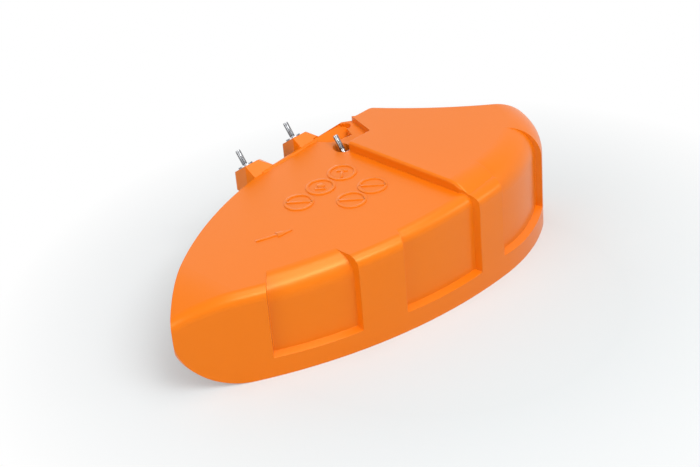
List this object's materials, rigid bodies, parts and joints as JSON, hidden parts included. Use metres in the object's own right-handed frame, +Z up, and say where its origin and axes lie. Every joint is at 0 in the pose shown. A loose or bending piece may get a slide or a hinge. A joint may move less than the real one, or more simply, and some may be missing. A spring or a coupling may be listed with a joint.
{
  "type": "trimmer blade guard",
  "caption": "Moulded plastic hood that shields a garden trimmer's cutting blade: curved skirt with recessed panels, stepped roof and tilted screw lugs along its back edge.",
  "frame": {"origin": "middle of the base of the bounding box, on the plane of the skirt's rim", "axes": "+X along the guard from its rounded tip to the raised wing, +Y from the skirt to the open back edge, +Z up from the rim"},
  "size_m": [0.4086, 0.205, 0.1089],
  "materials": {
    "moulded_plastic": "satin",
    "screw_steel": "zinc plated",
    "washer_steel": "zinc plated"
  },
  "bodies": {
    "root": {"guard_shell": "moulded_plastic", "mounting_screws": "screw_steel", "flat_washers": "washer_steel"}
  },
  "joints": []
}
